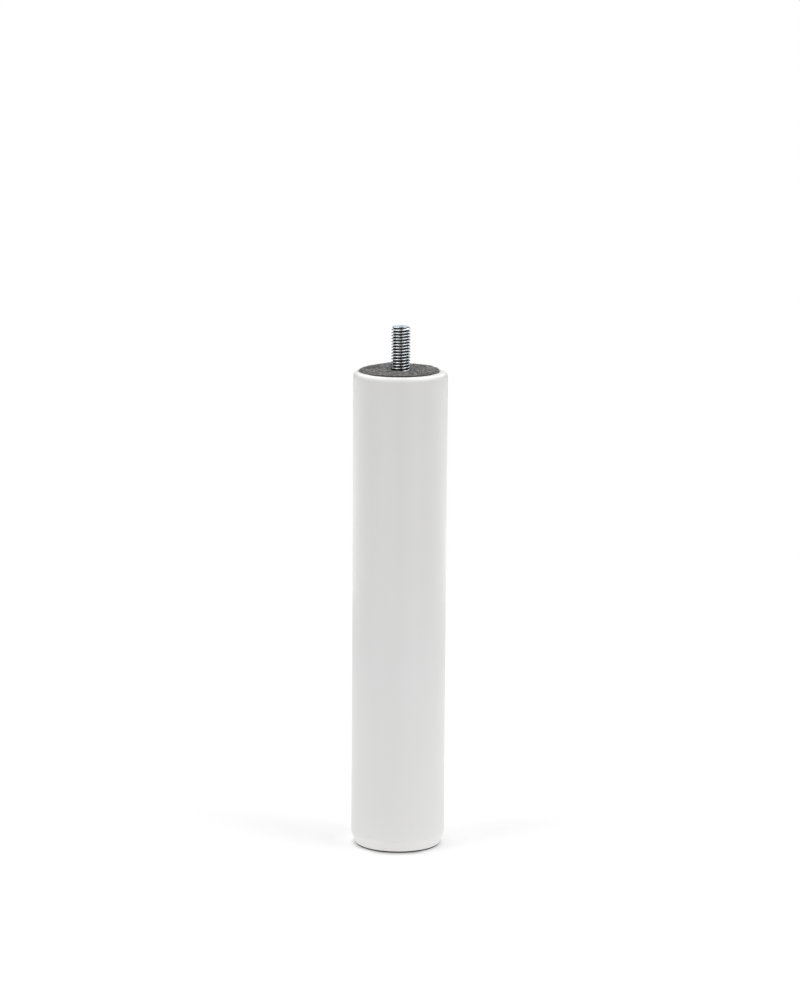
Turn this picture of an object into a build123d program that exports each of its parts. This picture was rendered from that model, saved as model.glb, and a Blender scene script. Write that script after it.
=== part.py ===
from build123d import *
import os

# Round bed leg: a turned and lacquered wooden cylinder that stands on a thin felt glide. A hanger bolt is
# screwed into its top, through a glued felt disc, and its machine thread goes up into the bed frame.
# Millimetres, +Z up. The origin is on the floor, at the middle of the foot.

# ---- Wooden body ----
leg_diameter = 40.0
body_height = 204.8
top_rounding = 2.0
foot_taper_height = 4.8
foot_taper_inset = 1.9
foot_edge_rounding = 0.4

# ---- Felt disc on the top, and glide under the foot ----
felt_thickness = 0.6
felt_margin = 0.7
glide_thickness = 0.6
glide_margin = 0.3

# ---- Hanger bolt: machine thread above the felt, plain neck, wood screw with a long point ----
thread_diameter = 8.0
thread_pitch = 1.25
thread_length = 19.0
tip_chamfer = 1.1
neck_depth = 5.0
screw_diameter = 6.6
screw_length = 27.4
point_length = 8.0
point_diameter = 1.0

# ---- Clearances and drilled allowances ----
thread_clearance = 0.3
neck_clearance = 0.1
bore_mouth_chamfer = 0.5
bore_overrun = 3.0

# ---- The neck is as thick as the blank that a metric thread is rolled on ----
neck_diameter = thread_diameter - 0.6495 * thread_pitch

# ---- Radii ----
leg_radius = leg_diameter / 2
foot_radius = leg_radius - foot_taper_inset
felt_radius = leg_radius - top_rounding - felt_margin
glide_radius = foot_radius - glide_margin
thread_radius = thread_diameter / 2
tip_radius = thread_radius - tip_chamfer
felt_hole_radius = thread_radius + thread_clearance
neck_radius = neck_diameter / 2
neck_bore_radius = neck_radius + neck_clearance
screw_radius = screw_diameter / 2
point_radius = point_diameter / 2

# ---- Levels, from the floor up ----
wood_bottom = glide_thickness
wood_top = wood_bottom + body_height
felt_top = wood_top + felt_thickness
bolt_tip = felt_top + thread_length
neck_bottom = wood_top - neck_depth
point_top = neck_bottom - screw_length
point_bottom = point_top - point_length
bore_bottom = point_bottom - bore_overrun

# ---- Wooden body: one turning, with a straight side, a taper at the foot and a rounded top rim ----
with BuildPart() as leg_body:
    with BuildSketch(Plane.XZ):
        with BuildLine():
            Polyline(
                (0, wood_bottom),
                (foot_radius, wood_bottom),
                (leg_radius, wood_bottom + foot_taper_height),
                (leg_radius, wood_top),
                (0, wood_top),
                close=True,
            )
        make_face()
    revolve(axis=Axis.Z)
    rims = leg_body.edges().filter_by(GeomType.CIRCLE).sort_by(Axis.Z)
    fillet(rims[-1], top_rounding)
    fillet(rims[0], foot_edge_rounding)

    # The drilled bore: a countersunk mouth, a clear stretch for the neck, and the pilot for the screw.
    with BuildSketch(Plane.XZ):
        with BuildLine():
            Polyline(
                (0, wood_top),
                (neck_bore_radius + bore_mouth_chamfer, wood_top),
                (neck_bore_radius, wood_top - bore_mouth_chamfer),
                (neck_bore_radius, neck_bottom),
                (screw_radius, neck_bottom),
                (screw_radius, point_bottom),
                (0, bore_bottom),
                close=True,
            )
        make_face()
    revolve(axis=Axis.Z, mode=Mode.SUBTRACT)
leg_body.part.label = "leg_body"

# ---- Hanger bolt: its slopes between two radii are at 45 degrees, apart from the long point ----
with BuildPart() as hanger_bolt:
    with BuildSketch(Plane.XZ):
        with BuildLine():
            Polyline(
                (0, bolt_tip),
                (tip_radius, bolt_tip),
                (thread_radius, bolt_tip - tip_chamfer),
                (thread_radius, felt_top),
                (neck_radius, felt_top - (thread_radius - neck_radius)),
                (neck_radius, neck_bottom + (neck_radius - screw_radius)),
                (screw_radius, neck_bottom),
                (screw_radius, point_top),
                (point_radius, point_bottom),
                (0, point_bottom),
                close=True,
            )
        make_face()
    revolve(axis=Axis.Z)
hanger_bolt.part.label = "hanger_bolt"

# ---- Felt disc: glued on the wood, inside the rounded rim, with a hole that clears the thread ----
with BuildPart() as top_felt:
    with BuildSketch(Plane.XY.offset(wood_top)):
        Circle(felt_radius)
        Circle(felt_hole_radius, mode=Mode.SUBTRACT)
    extrude(amount=felt_thickness)
top_felt.part.label = "top_felt"

# ---- Glide: glued under the foot, just inside the end of the taper ----
with BuildPart() as foot_glide:
    with BuildSketch():
        Circle(glide_radius)
    extrude(amount=glide_thickness)
foot_glide.part.label = "foot_glide"

os.makedirs("parts", exist_ok=True)
export_step(leg_body.part, "parts/leg_body.step")
export_step(hanger_bolt.part, "parts/hanger_bolt.step")
export_step(top_felt.part, "parts/top_felt.step")
export_step(foot_glide.part, "parts/foot_glide.step")
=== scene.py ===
import math

import bmesh
import bpy
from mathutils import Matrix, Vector, noise


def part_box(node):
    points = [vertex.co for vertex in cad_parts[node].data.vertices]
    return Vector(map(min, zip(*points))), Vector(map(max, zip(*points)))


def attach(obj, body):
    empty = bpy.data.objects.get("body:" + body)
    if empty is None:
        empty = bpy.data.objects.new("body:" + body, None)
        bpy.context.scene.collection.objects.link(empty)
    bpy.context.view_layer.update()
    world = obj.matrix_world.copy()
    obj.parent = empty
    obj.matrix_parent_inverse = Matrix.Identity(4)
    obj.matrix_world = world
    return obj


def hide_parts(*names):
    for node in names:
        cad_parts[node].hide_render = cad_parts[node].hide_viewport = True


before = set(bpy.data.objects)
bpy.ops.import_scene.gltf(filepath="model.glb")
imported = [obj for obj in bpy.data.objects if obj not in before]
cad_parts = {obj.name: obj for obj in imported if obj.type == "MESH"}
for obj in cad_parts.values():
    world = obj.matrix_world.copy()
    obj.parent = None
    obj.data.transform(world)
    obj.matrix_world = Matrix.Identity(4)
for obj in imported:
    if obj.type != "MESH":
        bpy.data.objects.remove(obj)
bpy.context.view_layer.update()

# ---- Sizes, in metres. Each place is worked out from the boxes of the leg's own pieces. ----
MM = 0.001
wood_low, wood_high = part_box("leg_body")
bolt_low, bolt_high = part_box("hanger_bolt")
felt_low, felt_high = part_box("top_felt")
glide_low, glide_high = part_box("foot_glide")

# Turned body
LEG_RADIUS = wood_high.x
TOP_ROUNDING = 2.0 * MM
TAPER_HEIGHT = 4.8 * MM
TAPER_INSET = 1.9 * MM
FOOT_EDGE_ROUNDING = 0.4 * MM
TAPER_EASING = 0.7 * MM

# Hanger bolt
THREAD_PITCH = 1.25 * MM
THREAD_RADIUS = bolt_high.x
THREAD_DEPTH = 0.6134 * THREAD_PITCH
TIP_CHAMFER = 1.1 * MM
TIP_DOME = 0.3 * MM
CREST_BELOW_TIP = 2.41 * MM
NECK_RADIUS = THREAD_RADIUS - 0.6495 / 2 * THREAD_PITCH
NECK_DEPTH = 5.0 * MM
RUNOUT_BELOW_WOOD = 0.3 * MM
SCREW_RADIUS = 3.3 * MM
SCREW_DEPTH = 0.85 * MM
SCREW_PITCH = 3.0 * MM
POINT_LENGTH = 8.0 * MM
POINT_RADIUS = 0.15 * MM
BORE_CLEARANCE = 0.1 * MM
BORE_CHAMFER = 0.5 * MM
BORE_OVERRUN = 3.0 * MM

# Felt disc, glued a little to the left of the middle, and glide
FELT_RADIUS = felt_high.x
FELT_HOLE = THREAD_RADIUS + 0.3 * MM
FELT_ASIDE = 0.7 * MM
GLIDE_RADIUS = glide_high.x

# Camera: its distance in front of the leg, its height, the point near the axis that it looks at, its roll,
# and its lens and the width of its sensor in millimetres
CAMERA_DISTANCE = 1.60
CAMERA_HEIGHT = 0.4369
CAMERA_TARGET = (0.0001, 0, 0.1502)
CAMERA_ROLL = math.radians(0.401)
CAMERA_LENS = 137.5
CAMERA_SENSOR = 36.0


# ---- Node trees, written as plain arithmetic ----
class Field:
    """A number that varies over a surface: a node's output, which can be added, multiplied and so on."""

    def __init__(self, tree, socket):
        self.tree = tree
        self.socket = socket

    def math(self, operation, *others, clamp=False):
        node = self.tree.nodes.new("ShaderNodeMath")
        node.operation = operation
        node.use_clamp = clamp
        for place, value in enumerate((self, *others)):
            feed(self.tree, node.inputs[place], value)
        return Field(self.tree, node.outputs[0])

    def __add__(self, other):
        return self.math("ADD", other)

    def __sub__(self, other):
        return self.math("SUBTRACT", other)

    def __mul__(self, other):
        return self.math("MULTIPLY", other)

    def __truediv__(self, other):
        return self.math("DIVIDE", other)

    def __rsub__(self, other):
        return (self * -1) + other

    def held(self):
        """The same number, kept between 0 and 1."""
        return self.math("MULTIPLY", 1.0, clamp=True)


def feed(tree, socket, value):
    """Gives a socket its value: a link from another node, or a plain number, colour or word."""
    if isinstance(value, Field):
        value = value.socket
    if isinstance(value, bpy.types.NodeSocket):
        tree.links.new(value, socket)
    elif value is not None:
        socket.default_value = value


def live(sockets, name):
    """A node's socket by its name, among those that its settings leave in use."""
    return next(socket for socket in sockets if socket.name == name and socket.enabled)


def put(tree, kind, settings=None, **inputs):
    """Adds a node. Its inputs are given by name, with an underline for a space."""
    node = tree.nodes.new(kind)
    for name, value in (settings or {}).items():
        setattr(node, name, value)
    for name, value in inputs.items():
        feed(tree, live(node.inputs, name.replace("_", " ")), value)
    return node


def out_of(node, name):
    return Field(node.id_data, live(node.outputs, name))


def new_group(kind, name, inputs, outputs):
    """An empty node group, its inputs by name, and its output node."""
    tree = bpy.data.node_groups.new(name, kind)
    for label, (socket_type, value) in inputs.items():
        socket = tree.interface.new_socket(label, in_out="INPUT", socket_type=socket_type)
        if value is not None:
            socket.default_value = value
    for label, socket_type in outputs.items():
        tree.interface.new_socket(label, in_out="OUTPUT", socket_type=socket_type)
    given = tree.nodes.new("NodeGroupInput")
    made = tree.nodes.new("NodeGroupOutput")
    return tree, {label: out_of(given, label) for label in inputs}, made


def ranged(value, low, high, start=0.0, end=1.0, style="LINEAR"):
    """Start where the value is low, end where it is high, and no further on either side."""
    node = put(value.tree, "ShaderNodeMapRange", {"interpolation_type": style, "clamp": True})
    names = ("Value", "From Min", "From Max", "To Min", "To Max")
    for name, given in zip(names, (value, low, high, start, end)):
        feed(value.tree, node.inputs[name], given)
    return Field(value.tree, node.outputs[0])


def smooth(value, low, high, start=0.0, end=1.0):
    return ranged(value, low, high, start, end, "SMOOTHSTEP")


def fading(value, low, high):
    return smooth(value, low, high, 1.0, 0.0)


def parts_of(tree, vector):
    node = put(tree, "ShaderNodeSeparateXYZ", Vector=vector)
    return [Field(tree, socket) for socket in node.outputs]


def joined(tree, x, y, z):
    return Field(tree, put(tree, "ShaderNodeCombineXYZ", X=x, Y=y, Z=z).outputs[0])


def out_from_axis(x, y):
    """How far a place is from the upright axis."""
    return (x * x + y * y).math("SQRT")


def vector_math(tree, operation, first, second=None, **inputs):
    node = put(tree, "ShaderNodeVectorMath", {"operation": operation}, **inputs)
    for socket, value in zip(node.inputs, (first, second)):
        feed(tree, socket, value)
    return node.outputs[0]


# ---- Meshes ----
FLOAT, INT = "NodeSocketFloat", "NodeSocketInt"
GEOMETRY, MATERIAL, VECTOR = "NodeSocketGeometry", "NodeSocketMaterial", "NodeSocketVector"
SAME_POINT = 2e-6


def mesh_object(name, data):
    piece = bpy.data.objects.new(name, data)
    bpy.context.scene.collection.objects.link(piece)
    return piece


def grown(name, tree, values, start=None):
    """Runs a geometry tree on a starting mesh, and keeps its result as a plain mesh."""
    carrier = mesh_object(name, start or bpy.data.meshes.new(name + "_start"))
    modifier = carrier.modifiers.new("grow", "NODES")
    modifier.node_group = tree
    for item in tree.interface.items_tree:
        if item.in_out == "INPUT" and item.name in values:
            modifier[item.identifier] = values[item.name]
    bpy.context.view_layer.update()
    ready = carrier.evaluated_get(bpy.context.evaluated_depsgraph_get())
    mesh = bpy.data.meshes.new_from_object(ready)
    carrier.modifiers.remove(modifier)
    carrier.data = mesh
    mesh.name = name
    return carrier


def close_shape(tree, shape, material, made):
    """Ends a geometry tree: merged seams and poles, smooth shading, one plain mesh, and its material."""
    merged = put(tree, "GeometryNodeMergeByDistance", Geometry=shape, Distance=SAME_POINT)
    rounded = put(tree, "GeometryNodeSetShadeSmooth", Geometry=merged.outputs[0])
    plain = put(tree, "GeometryNodeRealizeInstances", Geometry=rounded.outputs[0])
    dressed = put(tree, "GeometryNodeSetMaterial", Geometry=plain.outputs[0], Material=material)
    tree.links.new(dressed.outputs[0], made.inputs[0])


def here(tree):
    """Each point's own place."""
    return tree.nodes.new("GeometryNodeInputPosition").outputs[0]


def moved(tree, geometry, place=None, offset=None):
    """The geometry, with each of its points set at a place or pushed by an offset."""
    return put(tree, "GeometryNodeSetPosition", Geometry=geometry, Position=place, Offset=offset).outputs[0]


def marked(tree, geometry, name, value, domain="POINT"):
    """The geometry, with a number kept on it under a name, for its material to read."""
    kind = {"data_type": "FLOAT", "domain": domain}
    node = put(tree, "GeometryNodeStoreNamedAttribute", kind, Geometry=geometry, Name=name, Value=value)
    return node.outputs[0]


def unit_grid(tree, across, along):
    """A flat grid of points, with each point's share of the way across and along it."""
    grid = put(tree, "GeometryNodeMeshGrid", Size_X=1.0, Size_Y=1.0, Vertices_X=across, Vertices_Y=along)
    x, y, _ = parts_of(tree, here(tree))
    return grid.outputs[0], x + 0.5, y + 0.5


def round_axis(tree, angle, radius, height):
    return joined(tree, angle.math("COSINE") * radius, angle.math("SINE") * radius, height)


# The shares of the leg's radius between which a turning's waviness sets in
WAVY_FROM, WAVY_BEYOND = 0.5, 0.8


def turning_tree():
    """Turns a profile, a string of points in the XZ plane, round the upright axis. A faint waviness moves
    its side."""
    tree, given, made = new_group(
        "GeometryNodeTree",
        "turning",
        {
            "Profile": (GEOMETRY, None),
            "Around": (INT, 128),
            "Waviness": (FLOAT, 0.0),
            "Waves Per Metre": (FLOAT, 80.0),
            "Material": (MATERIAL, None),
        },
        {"Geometry": GEOMETRY},
    )
    count = out_of(put(tree, "GeometryNodeAttributeDomainSize", Geometry=given["Profile"]), "Point Count")
    grid, share, along = unit_grid(tree, given["Around"] + 1, count)
    row = (along * (count - 1)).math("ROUND")
    kind = {"data_type": "FLOAT_VECTOR"}
    profile = given["Profile"]
    sampled = put(tree, "GeometryNodeSampleIndex", kind, Geometry=profile, Value=here(tree), Index=row)
    radius, _, height = parts_of(tree, sampled.outputs[0])
    angle = share * math.tau
    spot = round_axis(tree, angle, radius, height)
    lumps = put(tree, "ShaderNodeTexNoise", Vector=spot, Scale=given["Waves Per Metre"], Detail=1.0)
    wave = (Field(tree, lumps.outputs[0]) - 0.5) * given["Waviness"] * 2
    wavy = radius + wave * smooth(radius, WAVY_FROM * LEG_RADIUS, WAVY_BEYOND * LEG_RADIUS)
    turned = moved(tree, grid, round_axis(tree, angle, wavy, height))
    close_shape(tree, turned, given["Material"], made)
    return tree


# Threads: the rows of points in one turn, and the turns of spare rows past each end
ROWS_PER_TURN = 16
SPARE_TURNS = 2
# Painted shade on a thread, as shares of its pitch: below a crest, where the flank faces down, and above,
# near the root. Under the rod's upper end the painted shade sets in over these shares of the thread's depth.
SHADE_BELOW_CREST = (-0.17, -0.08)
SHADE_ABOVE_CREST = (0.31, 0.41)
SHADE_UNDER_END = (0.02, 0.2)

ROD_INPUTS = {
    "Radius": (FLOAT, 0.004),
    "Depth": (FLOAT, 0.0008),
    "Pitch": (FLOAT, 0.00125),
    "Crest Share": (FLOAT, 0.125),
    "Root Share": (FLOAT, 0.25),
    "Rounding": (FLOAT, 0.35),
    "Tapered": (FLOAT, 0.0),
    "Turned": (FLOAT, 0.0),
    "Around": (INT, 96),
    "Rows Per Turn": (INT, ROWS_PER_TURN),
    "Low": (FLOAT, 0.0),
    "Low Radius": (FLOAT, 0.003),
    "Low Plain": (FLOAT, 0.0),
    "Low Opening": (FLOAT, 1.0),
    "Low Filling": (FLOAT, 1.0),
    "Low Closed": (FLOAT, 0.0),
    "High": (FLOAT, 0.02),
    "High Radius": (FLOAT, 0.003),
    "High Plain": (FLOAT, 0.0),
    "High Opening": (FLOAT, 1.0),
    "High Filling": (FLOAT, 1.0),
    "High Closed": (FLOAT, 1.0),
    "Dome": (FLOAT, 0.0),
}


def rod_tree():
    """A threaded rod. The rows of its grid climb round the axis with the thread, so that each crest is one
    row. At each end the rod comes to that end's radius: a crest opens from it, a root fills up to it, and a
    closed end is a face."""
    tree, given, made = new_group("GeometryNodeTree", "threaded rod", ROD_INPUTS, {"Geometry": GEOMETRY})
    pitch, per_turn, low, high = given["Pitch"], given["Rows Per Turn"], given["Low"], given["High"]
    one_row = pitch / per_turn
    spare = pitch * SPARE_TURNS + one_row
    turns = (high - low + spare * 2) / pitch
    rows = (turns * per_turn).math("CEIL")
    grid, share, along = unit_grid(tree, given["Around"] + 1, rows + 1)
    row = (along * rows).math("ROUND") / per_turn
    climb = low - spare + (row + share) * pitch
    height = climb.math("MAXIMUM", low).math("MINIMUM", high)

    # The thread's own shape: 1 on a crest, 0 in a root.
    off_crest = (row.math("FRACT") - 0.5).math("ABSOLUTE") * 2
    root_edge = 1 - given["Root Share"]
    flank = ranged(off_crest, root_edge, given["Crest Share"])
    rounded = smooth(off_crest, root_edge, given["Crest Share"])
    tooth = ranged(given["Rounding"], 0.0, 1.0, flank, rounded)
    thread = given["Radius"] - given["Depth"] * (1 - tooth)

    # What each end allows.
    up = (height - low - given["Low Plain"]).math("MAXIMUM", 0.0)
    down = (high - height - given["High Plain"]).math("MAXIMUM", 0.0)
    most = (given["Low Radius"] + up * given["Low Opening"]).math(
        "MINIMUM", given["High Radius"] + down * given["High Opening"]
    )
    least = (given["Low Radius"] - up * given["Low Filling"]).math(
        "MAXIMUM", given["High Radius"] - down * given["High Filling"]
    )
    cut = thread.math("MINIMUM", most)
    scaled = thread * (most / given["Radius"]).math("MINIMUM", 1.0)
    radius = ranged(given["Tapered"], 0.0, 1.0, cut, scaled).math("MAXIMUM", least)

    # Rows past an end lie on its face, and run in to the middle where it is closed.
    past_low = ((low - climb - one_row) / pitch).held()
    past_high = ((climb - high - one_row) / pitch).held()
    radius = radius * (1 - past_low * given["Low Closed"]) * (1 - past_high * given["High Closed"])
    dome = (past_high * (math.pi / 2)).math("SINE") * given["Dome"]
    angle = share * math.tau + given["Turned"]
    place = round_axis(tree, angle, radius, height + dome)

    # The attribute stored here is painted shade: 1 in the roots and on the flanks that face down, where shade
    # falls.
    side = row.math("FRACT") - 0.5
    groove_shade = fading(side, *SHADE_BELOW_CREST).math("MAXIMUM", smooth(side, *SHADE_ABOVE_CREST))
    groove_shade = groove_shade * smooth(high - height, *(given["Depth"] * part for part in SHADE_UNDER_END))
    tree.links.new(moved(tree, marked(tree, grid, "groove_shade", groove_shade), place), made.inputs[0])
    return tree


def hanger_bolt_tree():
    """Two threaded rods that share one ring at the neck: the machine thread above, the wood screw below."""
    rod = rod_tree()
    inputs = {f"{part} {label}": kind for part in ("Machine", "Wood") for label, kind in ROD_INPUTS.items()}
    inputs["Material"] = (MATERIAL, None)
    tree, given, made = new_group("GeometryNodeTree", "hanger bolt", inputs, {"Geometry": GEOMETRY})
    both = tree.nodes.new("GeometryNodeJoinGeometry")
    for part in ("Machine", "Wood"):
        piece = put(tree, "GeometryNodeGroup", {"node_tree": rod})
        for label in ROD_INPUTS:
            feed(tree, piece.inputs[label], given[f"{part} {label}"])
        tree.links.new(piece.outputs[0], both.inputs[0])
    close_shape(tree, both.outputs[0], given["Material"], made)
    return tree


# Fibres: how far one bows aside and how deep it lies in, as shares of its length and of its arch, and the
# waves per metre of its curl
FIBRE_BOW = 0.3
FIBRE_SUNK = 0.3
FIBRE_WAVES = 900.0


def random_value(tree, low, high, seed):
    node = put(tree, "FunctionNodeRandomValue", {"data_type": "FLOAT"}, Min=low, Max=high, Seed=seed)
    return out_of(node, "Value")


def fibre_tree():
    """Loose fibres that lie in small arches on a felt surface, each with its own shade."""
    tree, given, made = new_group(
        "GeometryNodeTree",
        "felt fibres",
        {
            "Surface": (GEOMETRY, None),
            "Per Square Metre": (FLOAT, 4e6),
            "Shortest": (FLOAT, 0.001),
            "Longest": (FLOAT, 0.003),
            "Thickness": (FLOAT, 0.00006),
            "Arch": (FLOAT, 0.08),
            "Curl": (FLOAT, 0.0004),
            "Points": (INT, 7),
            "Seed": (INT, 3),
            "Material": (MATERIAL, None),
        },
        {"Geometry": GEOMETRY},
    )
    seed, arch = given["Seed"], given["Arch"]
    spots = put(
        tree,
        "GeometryNodeDistributePointsOnFaces",
        Mesh=given["Surface"],
        Density=given["Per Square Metre"],
        Seed=seed,
    )
    about = joined(tree, 0.0, 0.0, random_value(tree, 0.0, math.tau, seed + 1))
    aimed = put(
        tree,
        "FunctionNodeRotateRotation",
        {"rotation_space": "LOCAL"},
        Rotation=out_of(spots, "Rotation"),
        Rotate_By=put(tree, "FunctionNodeEulerToRotation", Euler=about).outputs[0],
    )
    size = random_value(tree, given["Shortest"], given["Longest"], seed + 2)
    sway = random_value(tree, -1.0, 1.0, seed + 3)
    line = put(tree, "GeometryNodeCurvePrimitiveLine", Start=(-0.5, 0, 0), End=(0.5, 0, 0))
    strand = put(tree, "GeometryNodeResampleCurve", Curve=line.outputs[0], Count=given["Points"])
    x, _, _ = parts_of(tree, here(tree))
    bow = 1 - x * x * 4
    arched = joined(tree, x, bow * FIBRE_BOW, bow * arch - arch * FIBRE_SUNK)
    laid = put(
        tree,
        "GeometryNodeInstanceOnPoints",
        Points=out_of(spots, "Points"),
        Instance=moved(tree, strand.outputs[0], arched),
        Rotation=aimed.outputs[0],
        Scale=joined(tree, size, size * sway, size),
    )
    shaded = marked(tree, laid.outputs[0], "shade", random_value(tree, 0.0, 1.0, seed + 4), "INSTANCE")
    plain = put(tree, "GeometryNodeRealizeInstances", Geometry=shaded)
    drift = put(tree, "ShaderNodeTexNoise", Vector=here(tree), Scale=FIBRE_WAVES, Detail=1.0)
    offset = vector_math(tree, "SUBTRACT", drift.outputs["Color"], (0.5, 0.5, 0.5))
    curled = moved(tree, plain.outputs[0], offset=vector_math(tree, "SCALE", offset, Scale=given["Curl"]))
    ring = put(tree, "GeometryNodeCurvePrimitiveCircle", Resolution=3, Radius=given["Thickness"] * 0.5)
    solid = put(
        tree, "GeometryNodeCurveToMesh", Curve=curled, Profile_Curve=ring.outputs[0], Fill_Caps=True
    )
    rounded = put(tree, "GeometryNodeSetShadeSmooth", Geometry=solid.outputs[0])
    whole = put(tree, "GeometryNodeRealizeInstances", Geometry=rounded.outputs[0])
    dressed = put(tree, "GeometryNodeSetMaterial", Geometry=whole.outputs[0], Material=given["Material"])
    tree.links.new(dressed.outputs[0], made.inputs[0])
    return tree


def string_of(points):
    """A mesh of points alone, each given as (radius, height), for the turning tree to read."""
    mesh = bpy.data.meshes.new("profile")
    mesh.from_pydata([(radius, 0, height) for radius, height in points], [], [])
    return mesh


def arc(centre, radius, start, end, steps):
    """Points (radius, height) on a round corner of a profile, between two angles in degrees."""
    angles = [math.radians(start + (end - start) * step / steps) for step in range(steps + 1)]
    return [(centre[0] + radius * math.cos(a), centre[1] + radius * math.sin(a)) for a in angles]


def divided(start, end, steps):
    """Points along a straight stretch of a profile, without its last one."""
    return [
        (start[0] + (end[0] - start[0]) * step / steps, start[1] + (end[1] - start[1]) * step / steps)
        for step in range(steps)
    ]


def place_piece(piece, node):
    """A piece that stands for the CAD node, which it hides, and rides with the leg."""
    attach(piece, "root")
    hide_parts(node)


# ---- Wooden body. The steps divide each stretch of its profile, from the middle of the foot up. ----
UNDER_STEPS, FOOT_EDGE_STEPS, TAPER_STEPS, CORNER_STEPS = 10, 6, 6, 6
SIDE_STEPS, RIM_STEPS, TOP_STEPS = 90, 16, 14


def body_profile():
    floor_side, top = wood_low.z, wood_high.z
    foot_radius = LEG_RADIUS - TAPER_INSET
    slope = math.degrees(math.atan2(TAPER_HEIGHT, TAPER_INSET))
    edge = foot_radius - FOOT_EDGE_ROUNDING * math.tan(math.radians(slope) / 2)
    edge_height = floor_side + FOOT_EDGE_ROUNDING
    foot = arc((edge, edge_height), FOOT_EDGE_ROUNDING, -90, slope - 90, FOOT_EDGE_STEPS)
    ease = math.radians(90 - slope) / 2
    corner_height = floor_side + TAPER_HEIGHT + TAPER_EASING * math.tan(ease)
    corner = arc((LEG_RADIUS - TAPER_EASING, corner_height), TAPER_EASING, slope - 90, 0, CORNER_STEPS)
    rim = arc((LEG_RADIUS - TOP_ROUNDING, top - TOP_ROUNDING), TOP_ROUNDING, 0, 90, RIM_STEPS)
    neck_bore = NECK_RADIUS + BORE_CLEARANCE
    bore = [
        (neck_bore + BORE_CHAMFER, top),
        (neck_bore, top - BORE_CHAMFER),
        (neck_bore, top - NECK_DEPTH),
        (SCREW_RADIUS, top - NECK_DEPTH),
        (SCREW_RADIUS, bolt_low.z),
        (0, bolt_low.z - BORE_OVERRUN),
    ]
    under = divided((0, floor_side), foot[0], UNDER_STEPS)
    taper = divided(foot[-1], corner[0], TAPER_STEPS)
    side = divided(corner[-1], rim[0], SIDE_STEPS)
    flat = divided(rim[-1], bore[0], TOP_STEPS)
    return under + foot[:-1] + taper + corner[:-1] + side + rim[:-1] + flat + bore


# ---- Felt discs ----
# Lumps: the size of the broad ones and of the fine ones, how high the fine are against the broad, a step
# aside that keeps the two apart, and the level at which the noise is read
BROAD_LUMP = 1.3 * MM
FINE_LUMP = 0.5 * MM
FINE_HEIGHT = 0.6
LUMP_ASIDE = 7
NOISE_LEVEL = 0.37
# Cut edge: how far its corners are worn back, how far the upper one drops, and how much of the painted shade
# on the cut edge the upper one takes
EDGE_WEAR = 0.12 * MM
EDGE_DROP = 0.02 * MM
EDGE_SHADE_SHARE = 0.4
# The rings down the cut edge, each with its share of the height and how far in it is, and those underneath
CUT_RINGS = ((0.86, 0.02 * MM), (0.5, -0.03 * MM), (0.15, 0.02 * MM))
UNDER_RINGS = 6
# The top felt's outline: its straight cuts, how uneven and how straight they are, how far they wander and
# keep inside the circle, and its nicks, each with its angle and width in degrees, and its depth
CUTS = 17
CUT_UNEVENNESS = 0.35
CUT_STRAIGHTNESS = 0.8
CUT_WANDER = 0.12 * MM
CUT_INSIDE = 0.2 * MM
NICKS = ((213, 14, 0.7 * MM), (335, 10, 0.5 * MM))
# How the top felt lies: the heights of its ridge and of the collar round the bolt, how deep its ends sink,
# and in millimetres how much thicker it is behind, and how much that grows from left to right
RIDGE = 0.7 * MM
COLLAR = 0.12 * MM
ENDS_SUNK = 0.22 * MM
THICKER_BEHIND, THICKER_RIGHT = 0.48, 0.12
# Fraying: its size as a share of the disc's radius, and its depth
FELT_FRAY = (0.022, 0.13 * MM)
GLIDE_FRAY = (0.03, 0.08 * MM)
GLIDE_INSIDE = 0.05 * MM
# A face is on the felt's upper side where its normal points up by more than this.
FACES_UP = 0.6


def rough(x, y, size, amount):
    """A small rise or fall that varies smoothly, over bumps of about this size."""
    return amount * noise.noise(Vector((x / size, y / size, NOISE_LEVEL)))


def frayed(angle, size, depth):
    return rough(math.cos(angle), math.sin(angle), size, depth)


def bell(value, middle, width):
    """1 at the middle, and less and less on both sides of it."""
    return math.exp(-(((value - middle) / width) ** 2))


def climbed(value, start, length):
    """0 before the start, 1 past the length from there, and a straight climb between."""
    return min(1.0, max(0.0, (value - start) / length))


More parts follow.
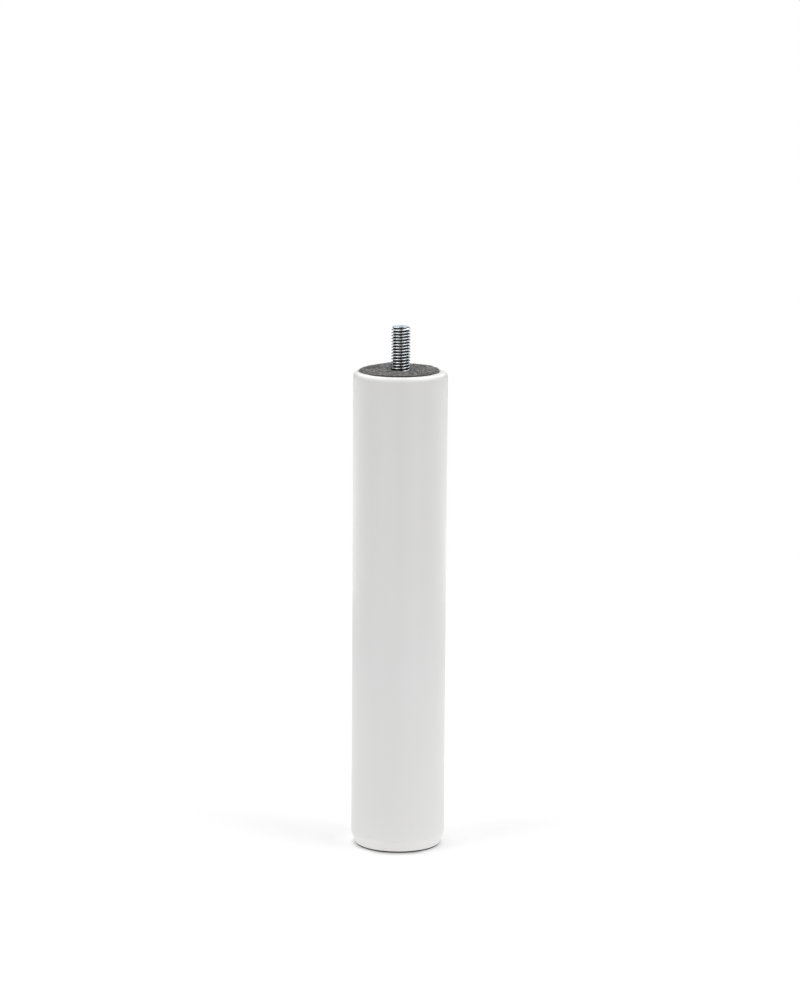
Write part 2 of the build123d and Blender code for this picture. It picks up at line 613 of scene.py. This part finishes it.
def felt_disc(name, radius, hole, low, high, aside, outline, rise, nap, steps, material):
    """A closed felt disc, cut by hand. outline gives how far its edge is off the circle at an angle, and
    rise how far its top is off the level at a point. The attribute cut is 1 on the cut edge and fades to 0 a
    little way in; the felt's material paints shade on the cut edge with it."""
    around, rings = steps
    shape = bmesh.new()
    cut = shape.verts.layers.float.new("cut")

    def ring(share, height_of, cut_shade, off_edge=0.0):
        points = []
        for step in range(around):
            angle = math.tau * step / around
            edge = radius + outline(angle) - off_edge
            reach = hole + (edge - hole) * share
            x = reach * math.cos(angle) - aside * share
            y = reach * math.sin(angle)
            vertex = shape.verts.new((x, y, height_of(x, y)))
            vertex[cut] = cut_shade
            points.append(vertex)
        return points

    def top(x, y):
        broad = rough(x, y, BROAD_LUMP, nap)
        fine = rough(x + LUMP_ASIDE, y, FINE_LUMP, FINE_HEIGHT * nap)
        return high + rise(x, y) + broad + fine

    def level(part):
        return lambda x, y: low + (top(x, y) - low) * part

    upper = [ring(step / rings, top, 0.0) for step in range(rings)]
    upper.append(ring(1.0, lambda x, y: top(x, y) - EDGE_DROP, EDGE_SHADE_SHARE, EDGE_WEAR))
    wall = [ring(1.0, level(part), 1.0, inward) for part, inward in CUT_RINGS]
    lower = [ring(1.0, lambda x, y: low, 1.0, EDGE_WEAR)]
    lower += [ring(1 - step / UNDER_RINGS, lambda x, y: low, 0.0) for step in range(1, UNDER_RINGS + 1)]
    circuit = upper + wall + lower
    if hole > 0:
        circuit.append(circuit[0])
    for inner, outer in zip(circuit, circuit[1:]):
        for step in range(around):
            following = (step + 1) % around
            shape.faces.new((inner[step], inner[following], outer[following], outer[step]))
    if hole <= 0:
        bmesh.ops.remove_doubles(shape, verts=shape.verts, dist=SAME_POINT)
    bmesh.ops.recalc_face_normals(shape, faces=shape.faces)
    for face in shape.faces:
        face.smooth = True
    mesh = bpy.data.meshes.new(name)
    shape.to_mesh(mesh)
    shape.free()
    mesh.materials.append(material)
    return mesh_object(name, mesh)


def scissor_cut(angle):
    """The outline of the top felt: short straight cuts, with a fine raggedness."""
    turn = angle / math.tau * CUTS + CUT_UNEVENNESS * math.sin(angle * 2 + 0.6)
    within = (turn % 1.0 - 0.5) * math.tau / CUTS
    straight = math.cos(math.pi / CUTS) / math.cos(within) - 1.0
    slow = CUT_WANDER * math.sin(angle * 3 + 1.2) - CUT_INSIDE
    nicks = sum(
        depth * bell(angle, math.radians(middle), math.radians(width)) for middle, width, depth in NICKS
    )
    return FELT_RADIUS * straight * CUT_STRAIGHTNESS + slow + frayed(angle, *FELT_FRAY) - nicks


def felt_rise(x, y):
    """The felt stands up a little where the bolt came through it, more behind and to the left. It is
    thicker behind, and thinner at its left and right ends."""
    behind = climbed(y, -3 * MM, 12 * MM)
    ridge = RIDGE * bell(x, -2.6 * MM, 5.2 * MM) * climbed(y, -2 * MM, 9 * MM)
    thicker = (THICKER_BEHIND + THICKER_RIGHT * math.tanh(x / (6 * MM))) * MM
    collar = COLLAR * bell(math.hypot(x, y), FELT_HOLE, 1.6 * MM)
    ends = ENDS_SUNK * climbed(abs(x), 8 * MM, 9 * MM) ** 1.5
    return ridge + thicker * behind * behind * (3 - 2 * behind) + collar - ends


def glide_cut(angle):
    return frayed(angle, *GLIDE_FRAY) - GLIDE_INSIDE


def only_felt_top(piece):
    """A copy of a felt disc's upper side, for the fibres to lie on."""
    mesh = piece.data.copy()
    shape = bmesh.new()
    shape.from_mesh(mesh)
    hidden = []
    for face in shape.faces:
        if face.normal.z < FACES_UP or math.hypot(*face.calc_center_median().xy) < FELT_HOLE:
            hidden.append(face)
    bmesh.ops.delete(shape, geom=hidden, context="FACES")
    shape.to_mesh(mesh)
    shape.free()
    return mesh


# ---- Effects that several finishes share ----
# How much full sharpness takes off each side of a mottling's range
SHARPEST = 0.45
# Matted fibres: how fine their winding and their streaks are against their size, how thin a streak is, how
# far it is drawn out, and which ways the streaks run
WINDING_FINENESS = 0.6
STREAK_FINENESS = 2.2
STREAK_THINNESS = 14
STREAK_STRETCH = (1.0, 0.16, 1.0)
STREAK_TURNS = (0.3, 1.4, 2.5)


def lumps_of(tree, vector, size, detail=2.0):
    """Noise from 0 to 1, in lumps of about a size in metres."""
    node = put(tree, "ShaderNodeTexNoise", Vector=vector, Scale=size.math("POWER", -1.0), Detail=detail)
    return Field(tree, node.outputs[0])


def stretched(tree, vector, scale, turn=0.0):
    """Coordinates whose pattern is turned about the upright axis, and drawn out where scale is under 1."""
    return put(tree, "ShaderNodeMapping", Vector=vector, Rotation=(0, 0, turn), Scale=scale).outputs[0]


def mottling_group():
    """Soft uneven patches: a mask from 0 to 1, of a size in metres."""
    tree, given, made = new_group(
        "ShaderNodeTree",
        "mottling",
        {
            "Vector": (VECTOR, None),
            "Size": (FLOAT, 0.01),
            "Detail": (FLOAT, 2.0),
            "Sharpness": (FLOAT, 0.5),
        },
        {"Mask": FLOAT},
    )
    patches = lumps_of(tree, given["Vector"], given["Size"], given["Detail"])
    reach = 0.5 - given["Sharpness"] * SHARPEST
    feed(tree, made.inputs["Mask"], smooth(patches, 0.5 - reach, reach + 0.5))
    return tree


def relief_group():
    """A height between 0 and 1 from broad bumps and fine ones."""
    tree, given, made = new_group(
        "ShaderNodeTree",
        "fine relief",
        {
            "Vector": (VECTOR, None),
            "Broad Size": (FLOAT, 0.002),
            "Fine Size": (FLOAT, 0.0004),
            "Fine Share": (FLOAT, 0.3),
        },
        {"Height": FLOAT},
    )
    broad, fine = (lumps_of(tree, given["Vector"], given[size]) for size in ("Broad Size", "Fine Size"))
    feed(tree, made.inputs["Height"], ranged(given["Fine Share"], 0.0, 1.0, broad, fine))
    return tree


def matted_group():
    """Matted fibres: thin winding streaks, from 0 between them to 1 on them."""
    tree, given, made = new_group(
        "ShaderNodeTree",
        "matted fibres",
        {"Vector": (VECTOR, None), "Size": (FLOAT, 0.001), "Winding": (FLOAT, 1.0)},
        {"Streaks": FLOAT},
    )
    scale = given["Size"].math("POWER", -1.0)
    vector = given["Vector"]
    bend = put(tree, "ShaderNodeTexNoise", Vector=vector, Scale=scale * WINDING_FINENESS, Detail=2.0)
    pushed = vector_math(tree, "SCALE", bend.outputs["Color"], Scale=given["Winding"] * given["Size"])
    warped = vector_math(tree, "ADD", vector, pushed)
    streaks = None
    for turn in STREAK_TURNS:
        aimed = stretched(tree, warped, STREAK_STRETCH, turn)
        lines = put(tree, "ShaderNodeTexNoise", Vector=aimed, Scale=scale * STREAK_FINENESS, Detail=1.0)
        off_line = (Field(tree, lines.outputs[0]) - 0.5).math("ABSOLUTE")
        ridge = (1 - off_line * STREAK_THINNESS).math("MAXIMUM", 0.0)
        streaks = ridge if streaks is None else streaks.math("MAXIMUM", ridge)
    feed(tree, made.inputs["Streaks"], streaks)
    return tree


def effect(tree, group, **values):
    """One of the shared effects, placed in a material with its own values."""
    node = put(tree, "ShaderNodeGroup", {"node_tree": group}, **values)
    return Field(tree, node.outputs[0])


# ---- Materials ----
def new_material(name):
    """A material with an empty tree and its output, and the tree."""
    material = bpy.data.materials.new(name)
    material.use_nodes = True
    tree = material.node_tree
    tree.nodes.clear()
    put(tree, "ShaderNodeOutputMaterial")
    return material, tree


def show(tree, shader):
    tree.links.new(shader.outputs[0], tree.nodes["Material Output"].inputs["Surface"])


def own_place(tree):
    return out_of(tree.nodes.new("ShaderNodeTexCoord"), "Object")


def blend_colour(tree, share, start, end):
    node = put(tree, "ShaderNodeMix", {"data_type": "RGBA"}, Factor=share, A=start, B=end)
    return Field(tree, live(node.outputs, "Result"))


def bump(tree, height, depth, under=None):
    return Field(tree, put(tree, "ShaderNodeBump", Height=height, Distance=depth, Normal=under).outputs[0])


def attribute(tree, name):
    return out_of(put(tree, "ShaderNodeAttribute", {"attribute_name": name}), "Fac")


def principled(tree, **inputs):
    show(tree, put(tree, "ShaderNodeBsdfPrincipled", **inputs))


def combined(tree, kind, first, second, **inputs):
    """Two shaders added or mixed. Where they are mixed, Fac is the share of the second."""
    node = put(tree, kind, **inputs)
    for socket, shader in zip(list(node.inputs)[-2:], (first, second)):
        tree.links.new(shader.outputs[0], socket)
    return node


def grey(shade):
    return (shade, shade, shade, 1)


WHITE, BLACK = grey(1), grey(0)
LACQUER_DULL = (0.815, 0.815, 0.81, 1)
LACQUER_CLEAR = grey(0.84)
LACQUER_WARM = (0.84, 0.83, 0.805, 1)
ZINC_BRIGHT = (0.84, 0.86, 0.88, 1)
ZINC_DULL = (0.62, 0.66, 0.7, 1)
ZINC_WORN = (0.88, 0.87, 0.85, 1)
# Painted shade for the roots and down-facing flanks of the bolt's threads
ZINC_PAINTED_SHADE = (0.009, 0.011, 0.013, 1)
ZINC_GLANCING = (0.4, 0.5, 0.58, 1)
FELT_DARK = (0.105, 0.105, 0.103, 1)
FELT_LIGHT = (0.29, 0.285, 0.28, 1)
# The cut-edge colours are painted shade for the shaded cut edges of the felt and the glide
FELT_CUT_SHADE = (0.050, 0.049, 0.048, 1)
GLIDE_DARK, GLIDE_LIGHT, GLIDE_CUT_SHADE = grey(0.05), grey(0.10), grey(0.04)
FIBRE_DARK = (0.06, 0.06, 0.058, 1)
FIBRE_LIGHT = (0.42, 0.41, 0.40, 1)
# How much lighter than light felt its streaks are, the pitch of the turning marks on the bolt's end face, and
# the height over which that face sets in
STREAK_GAIN = 1.9
TURNING_MARKS = 0.22 * MM
END_FACE_EDGE = 0.03 * MM


def lacquer(groups):
    """Sprayed white satin lacquer: a faint orange peel, slightly uneven gloss, hardly any change of tone."""
    material, tree = new_material("white lacquer")
    mottling, relief = groups["mottling"], groups["relief"]
    place = own_place(tree)
    drawn, drawn_out = (stretched(tree, place, (1.0, 1.0, upward)) for upward in (0.2, 0.06))
    cloud = effect(tree, mottling, Vector=drawn, Size=0.016, Detail=2.0, Sharpness=0.3)
    warmth = effect(tree, mottling, Vector=place, Size=0.06, Detail=1.0, Sharpness=0.4)
    peel = effect(tree, relief, Vector=place, Broad_Size=0.0016, Fine_Size=0.0005, Fine_Share=0.25)
    grain = effect(tree, relief, Vector=drawn_out, Broad_Size=0.0022, Fine_Size=0.0007, Fine_Share=0.35)
    tone = blend_colour(tree, cloud, LACQUER_DULL, LACQUER_CLEAR)
    tone = blend_colour(tree, warmth * 0.5, tone, LACQUER_WARM)
    uneven = ranged(cloud, 0.0, 1.0, 0.34, 0.4)
    normal = bump(tree, peel, 0.006 * MM, bump(tree, grain, 0.004 * MM))
    principled(tree, Base_Color=tone, Roughness=uneven, Normal=normal, IOR=1.5)
    return material


def zinc(groups):
    """Bright zinc plating: a cold grey metal with small dull patches, turning marks on its end face, and
    painted shade in the thread's roots and on its down-facing flanks.
    """
    material, tree = new_material("zinc plating")
    mottling, relief = groups["mottling"], groups["relief"]
    place = own_place(tree)
    dull = effect(tree, mottling, Vector=place, Size=0.0011, Detail=3.0, Sharpness=0.6)
    worn = effect(tree, mottling, Vector=place, Size=0.004, Detail=2.0, Sharpness=0.5)
    grit = effect(tree, relief, Vector=place, Broad_Size=0.0005, Fine_Size=0.00015, Fine_Share=0.4)
    colour = blend_colour(tree, dull * 0.4, ZINC_BRIGHT, ZINC_DULL)
    colour = blend_colour(tree, worn * 0.3, colour, ZINC_WORN)
    # Painted shade: the thread's roots and down-facing flanks turn nearly black
    colour = blend_colour(tree, attribute(tree, "groove_shade") * 0.96, colour, ZINC_PAINTED_SHADE)
    x, y, z = parts_of(tree, place)
    end_height = bolt_high.z - TIP_DOME
    on_end = smooth(z, end_height - END_FACE_EDGE, end_height + END_FACE_EDGE)
    uneven = ranged(dull, 0.0, 1.0, 0.1, 0.2) + on_end * 0.25
    rings = (out_from_axis(x, y) * (math.tau / TURNING_MARKS)).math("SINE") * on_end
    normal = bump(tree, grit, 0.006 * MM, bump(tree, rings, 0.004 * MM))
    principled(
        tree,
        Base_Color=colour,
        Roughness=uneven,
        Metallic=1.0,
        Normal=normal,
        Specular_Tint=ZINC_GLANCING,
    )
    return material


def felt(name, groups, dark, light, edge):
    """Matted felt: winding streaks and darker hollows, and painted shade on the cut edge."""
    material, tree = new_material(name)
    mottling, relief = groups["mottling"], groups["relief"]
    place = own_place(tree)
    streaks = effect(tree, groups["matted"], Vector=place, Size=0.0012, Winding=1.4)
    hollows = effect(tree, mottling, Vector=place, Size=0.0009, Detail=3.0, Sharpness=0.6)
    patches = effect(tree, mottling, Vector=place, Size=0.005, Detail=2.0, Sharpness=0.5)
    lumps = effect(tree, relief, Vector=place, Broad_Size=0.0009, Fine_Size=0.00022, Fine_Share=0.45)
    streak_colour = tuple(min(1.0, STREAK_GAIN * part) for part in light[:3]) + (1,)
    colour = blend_colour(tree, hollows, dark, light)
    colour = blend_colour(tree, streaks * 0.55, colour, streak_colour)
    colour = blend_colour(tree, patches * 0.3, colour, dark)
    # Painted shade on the cut edge, where the attribute cut is 1
    colour = blend_colour(tree, attribute(tree, "cut"), colour, edge)
    principled(
        tree,
        Base_Color=colour,
        Roughness=0.95,
        Normal=bump(tree, streaks, 0.05 * MM, bump(tree, lumps, 0.14 * MM)),
        Specular_IOR_Level=0.2,
        Sheen_Weight=0.15,
        Sheen_Roughness=0.6,
    )
    return material


def fibre_finish(name, groups, dark, light):
    """Single felt fibres, each of its own shade, with slow changes from place to place."""
    material, tree = new_material(name)
    place = own_place(tree)
    patches = effect(tree, groups["mottling"], Vector=place, Size=0.003, Detail=2.0, Sharpness=0.5)
    colour = blend_colour(tree, attribute(tree, "shade").math("POWER", 1.6), dark, light)
    colour = blend_colour(tree, patches * 0.35, colour, dark)
    principled(tree, Base_Color=colour, Roughness=0.8, Specular_IOR_Level=0.3)
    return material


# ---- Floor. Lengths are from the leg's axis, and a side is x or y over that length. ----
FLOOR_RADIUS = 0.6
# What lights the leg: the floor's paint, and a glow at the foot, near the leg, far off, and more behind it
FLOOR_PAINT = 0.6
GLOW_FOOT, GLOW_NEAR, GLOW_FAR, GLOW_BEHIND = 0.2, 0.27, 0.2, 0.2
GLOW_FOOT_FADES = (0.02, 0.04)
GLOW_SPREADS = (0.12, 0.5)
GLOW_BEHIND_STARTS = (0.05, 0.2)
BEHIND_SIDE = (0.1, 0.7)
# What the camera sees: paint, and a white that starts under the foot, leaving a thin painted contact shadow
# at its edge, and grows far off
SEEN_PAINT = 0.80
WHITE_NEAR, WHITE_FAR = 0.107, 0.2
WHITE_STARTS = (0.017, 0.021)
WHITE_GROWS = (0.25, 0.5)
# Painted light: a pale patch round the foot, and a stronger one beside it on the left
PAINTED_POOL, PAINTED_LEFT_POOL = 0.02, 0.115
POOL_STARTS, POOL_FADES = (0.022, 0.027), (0.03, 0.055)
LEFT_POOL_STARTS, LEFT_POOL_FADES = (0.0185, 0.021), (0.019, 0.030)
LEFT_SIDE = (-0.8, -0.3)
# Painted shadow: a dark line of contact in front
CONTACT_SHADOW = 0.28
CONTACT_SHADOW_FADES = (0.0195, 0.0228)
FRONT_SIDE = (-0.95, -0.75)


def floor_material():
    """A pale floor: one look for the light that it sends back, and another for the camera, which has painted
    light and a painted contact shadow round the foot.
    """
    material, tree = new_material("pale floor")
    rays = put(tree, "ShaderNodeLightPath")
    x, y, _ = parts_of(tree, own_place(tree))
    away = out_from_axis(x, y)
    glow = smooth(away, *GLOW_SPREADS, GLOW_NEAR, GLOW_FAR) + smooth(away, *GLOW_FOOT_FADES, GLOW_FOOT, 0.0)
    glow = glow + smooth(away, *GLOW_BEHIND_STARTS) * smooth(y / away, *BEHIND_SIDE, 0.0, GLOW_BEHIND)
    # Painted light on the floor round the foot, added to the white that the camera sees
    painted_light_pool = smooth(away, *POOL_STARTS) * smooth(away, *POOL_FADES, PAINTED_POOL, 0.0)
    leftward = smooth(away, *LEFT_POOL_STARTS) * fading(x / away, *LEFT_SIDE)
    painted_light_pool = painted_light_pool + leftward * smooth(away, *LEFT_POOL_FADES, PAINTED_LEFT_POOL, 0.0)
    white = smooth(away, *WHITE_GROWS, WHITE_NEAR, WHITE_FAR) * smooth(away, *WHITE_STARTS) + painted_light_pool
    # Painted shadow: the camera's paint darkens along the front edge of the foot
    contact_shadow_mix = 1 - fading(y / away, *FRONT_SIDE) * smooth(away, *CONTACT_SHADOW_FADES, CONTACT_SHADOW, 0.0)
    seen_colour = blend_colour(tree, contact_shadow_mix, BLACK, grey(SEEN_PAINT))
    looks = []
    for colour, strength in ((grey(FLOOR_PAINT), glow), (seen_colour, white)):
        paint = put(tree, "ShaderNodeBsdfDiffuse", Color=colour)
        light = put(tree, "ShaderNodeEmission", Color=WHITE, Strength=strength)
        looks.append(combined(tree, "ShaderNodeAddShader", paint, light))
    show(tree, combined(tree, "ShaderNodeMixShader", *looks, Fac=rays.outputs["Is Camera Ray"]))
    return material


# ---- Camera and light ----
# A turn is in degrees to the right of the camera, and up is the upward part of a direction.
# The sky that lights the leg: its glow low and high, less of it in front, and more on the right
SKY_LOW, SKY_HIGH = 0.48, 1.75
SKY_CLIMBS = (0.55, 0.95)
SKY_FRONT, SKY_RIGHT = 0.68, 1.16
SKY_FRONT_ENDS = (20.0, 110.0)
SKY_RIGHT_STARTS, SKY_RIGHT_ENDS = (10.0, 60.0), (110.0, 160.0)
# What gloss mirrors: a dark room with a cold tint, and bright panels in it
MIRRORED_ROOM = 0.05
ROOM_TINT = (0.6, 0.85, 1.0, 1)
# How soft a panel's edges are: in degrees at its sides, and in up below and above it
PANEL_SIDE_EDGE = 3.0
PANEL_LOW_EDGE = 0.02
PANEL_HIGH_EDGE = 0.01
# Each panel's first and last turn, its lowest and highest up, and its glow
MIRRORED_PANELS = (
    (-60, -7, -0.15, 0.37, 1.8),
    (14, 52, -0.15, 0.37, 2.1),
    (-92, 92, -2, -0.15, 0.9),
    (-160, -92, -0.18, -0.16, 5.2),
    (92, 160, -0.18, -0.16, 4.6),
    (-160, -92, -2, -0.18, 1.8),
    (92, 160, -2, -0.18, 1.6),
    (-184, -160, -2, -0.16, 1.2),
    (160, 184, -2, -0.16, 1.0),
    (-172, -144, 0.4, 0.95, 3.0),
    (144, 172, 0.4, 0.95, 3.0),
    (-144, -66, 0.45, 0.95, 1.5),
    (66, 144, 0.45, 0.95, 1.8),
)
# Lamps: how high they stand in degrees, how far off and how large they are, and each one's turn and glow
LAMP_ELEVATION = 50
LAMP_DISTANCE = 1.3
LAMP_SIZE = 0.6
LAMPS = {"softbox left": (-62, 2.6), "softbox right": (62, 2.7)}


def make_camera():
    data = bpy.data.cameras.new("camera")
    data.lens = CAMERA_LENS
    data.sensor_width = CAMERA_SENSOR
    camera = mesh_object("camera", data)
    camera.location = (0, -CAMERA_DISTANCE, CAMERA_HEIGHT)
    direction = Vector(CAMERA_TARGET) - camera.location
    camera.rotation_euler = direction.to_track_quat("-Z", "Y").to_euler()
    camera.rotation_euler.rotate_axis("Z", CAMERA_ROLL)
    bpy.context.scene.camera = camera


def make_lamp(name, turn, glow):
    """A large square lamp that faces the leg."""
    lamp = bpy.data.lights.new(name, "AREA")
    lamp.size = LAMP_SIZE
    lamp.energy = math.pi * glow * LAMP_SIZE * LAMP_SIZE
    place = mesh_object(name, lamp)
    across, up = math.radians(turn), math.radians(LAMP_ELEVATION)
    outward = Vector((math.sin(across) * math.cos(up), -math.cos(across) * math.cos(up), math.sin(up)))
    place.location = outward * LAMP_DISTANCE
    place.rotation_euler = outward.to_track_quat("Z", "Y").to_euler()
    place.visible_camera = False


def make_world():
    """White where the camera looks past the leg, a plain pale sky for light, and for gloss a dark room with
    bright panels in it."""
    world = bpy.data.worlds.new("studio")
    bpy.context.scene.world = world
    world.use_nodes = True
    tree = world.node_tree
    tree.nodes.clear()
    rays = put(tree, "ShaderNodeLightPath")
    x, y, up = parts_of(tree, out_of(put(tree, "ShaderNodeTexCoord"), "Generated"))
    turn = x.math("ARCTAN2", y * -1) * (180 / math.pi)
    front = smooth(turn.math("ABSOLUTE"), *SKY_FRONT_ENDS, SKY_FRONT, 1.0)
    right = smooth(turn, *SKY_RIGHT_STARTS) * fading(turn, *SKY_RIGHT_ENDS)
    glow = smooth(up, *SKY_CLIMBS, SKY_LOW, SKY_HIGH) * front * (right * (SKY_RIGHT - 1.0) + 1.0)
    sky = put(tree, "ShaderNodeBackground", Color=WHITE, Strength=glow)
    strength = None
    for start, end, low, high, shine in MIRRORED_PANELS:
        across = smooth(turn, start - PANEL_SIDE_EDGE, start + PANEL_SIDE_EDGE)
        across = across * fading(turn, end - PANEL_SIDE_EDGE, end + PANEL_SIDE_EDGE)
        panel = across * smooth(up, low - PANEL_LOW_EDGE, low + PANEL_LOW_EDGE)
        panel = panel * fading(up, high - PANEL_HIGH_EDGE, high + PANEL_HIGH_EDGE) * shine
        strength = panel + MIRRORED_ROOM if strength is None else strength + panel
    tint = blend_colour(tree, strength.math("MINIMUM", 1.0), ROOM_TINT, WHITE)
    glossy = put(tree, "ShaderNodeBackground", Color=tint, Strength=strength)
    backdrop = put(tree, "ShaderNodeBackground", Color=WHITE, Strength=1.0)
    lit = combined(tree, "ShaderNodeMixShader", sky, glossy, Fac=rays.outputs["Is Glossy Ray"])
    shown = combined(tree, "ShaderNodeMixShader", lit, backdrop, Fac=rays.outputs["Is Camera Ray"])
    out = put(tree, "ShaderNodeOutputWorld")
    tree.links.new(shown.outputs[0], out.inputs["Surface"])


def make_floor():
    mesh = bpy.data.meshes.new("floor")
    shape = bmesh.new()
    bmesh.ops.create_circle(shape, cap_ends=True, radius=FLOOR_RADIUS, segments=96)
    shape.to_mesh(mesh)
    shape.free()
    floor = mesh_object("floor", mesh)
    floor.data.materials.append(floor_material())


# ---- Finishes ----
groups = {"mottling": mottling_group(), "relief": relief_group(), "matted": matted_group()}
white_lacquer = lacquer(groups)
zinc_plating = zinc(groups)
grey_felt = felt("grey felt", groups, FELT_DARK, FELT_LIGHT, FELT_CUT_SHADE)
dark_felt = felt("dark felt", groups, GLIDE_DARK, GLIDE_LIGHT, GLIDE_CUT_SHADE)
grey_fibres = fibre_finish("grey felt fibres", groups, FIBRE_DARK, FIBRE_LIGHT)

# ---- The leg's pieces ----
body = grown(
    "lacquered_body",
    turning_tree(),
    {"Around": 192, "Waviness": 0.012 * MM, "Waves Per Metre": 70.0, "Material": white_lacquer},
    string_of(body_profile()),
)
place_piece(body, "leg_body")

neck_low = wood_high.z - NECK_DEPTH + (NECK_RADIUS - SCREW_RADIUS)
machine = {
    "Radius": THREAD_RADIUS,
    "Depth": THREAD_DEPTH,
    "Pitch": THREAD_PITCH,
    "Crest Share": 0.22,
    "Low": neck_low,
    "Low Radius": NECK_RADIUS,
    "Low Plain": wood_high.z - RUNOUT_BELOW_WOOD - neck_low,
    "Low Filling": 0.6,
    "High": bolt_high.z - TIP_DOME,
    "High Radius": THREAD_RADIUS - TIP_CHAMFER + TIP_DOME,
    "High Filling": 50.0,
    "Dome": TIP_DOME,
}
# The machine thread is turned so that a crest passes the +X side at the given depth under the tip.
first_crest = neck_low - THREAD_PITCH * (SPARE_TURNS + 1 / ROWS_PER_TURN) + THREAD_PITCH / 2
machine["Turned"] = math.tau * (((first_crest - (bolt_high.z - CREST_BELOW_TIP)) / THREAD_PITCH) % 1.0)
wood_screw = {
    "Radius": SCREW_RADIUS,
    "Depth": SCREW_DEPTH,
    "Pitch": SCREW_PITCH,
    "Crest Share": 0.1,
    "Root Share": 0.45,
    "Tapered": 1.0,
    "Low": bolt_low.z,
    "Low Radius": POINT_RADIUS,
    "Low Opening": (SCREW_RADIUS - POINT_RADIUS) / POINT_LENGTH,
    "Low Filling": 50.0,
    "Low Closed": 1.0,
    "High": neck_low,
    "High Radius": NECK_RADIUS,
    "High Opening": 50.0,
    "High Closed": 0.0,
}
bolt_sizes = {f"Machine {label}": value for label, value in machine.items()}
bolt_sizes.update({f"Wood {label}": value for label, value in wood_screw.items()})
bolt_sizes["Material"] = zinc_plating
bolt = grown("threaded_hanger_bolt", hanger_bolt_tree(), bolt_sizes)
place_piece(bolt, "hanger_bolt")

disc = felt_disc(
    "felt_disc",
    radius=FELT_RADIUS,
    hole=FELT_HOLE,
    low=felt_low.z,
    high=felt_high.z,
    aside=FELT_ASIDE,
    outline=scissor_cut,
    rise=felt_rise,
    nap=0.07 * MM,
    steps=(288, 46),
    material=grey_felt,
)
place_piece(disc, "top_felt")
fibres = grown(
    "felt_fibres",
    fibre_tree(),
    {
        "Per Square Metre": 3.6e6,
        "Longest": 2.4 * MM,
        "Arch": 0.05,
        "Curl": 0.3 * MM,
        "Material": grey_fibres,
    },
    only_felt_top(disc),
)
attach(fibres, "root")

glide = felt_disc(
    "glide_disc",
    radius=GLIDE_RADIUS,
    hole=0.0,
    low=glide_low.z,
    high=glide_high.z,
    aside=0.0,
    outline=glide_cut,
    rise=lambda x, y: 0.0,
    nap=0.0,
    steps=(240, 16),
    material=dark_felt,
)
place_piece(glide, "foot_glide")

make_camera()
make_world()
for lamp_name, (lamp_turn, lamp_glow) in LAMPS.items():
    make_lamp(lamp_name, lamp_turn, lamp_glow)
make_floor()
bpy.context.scene.view_settings.view_transform = "Standard"
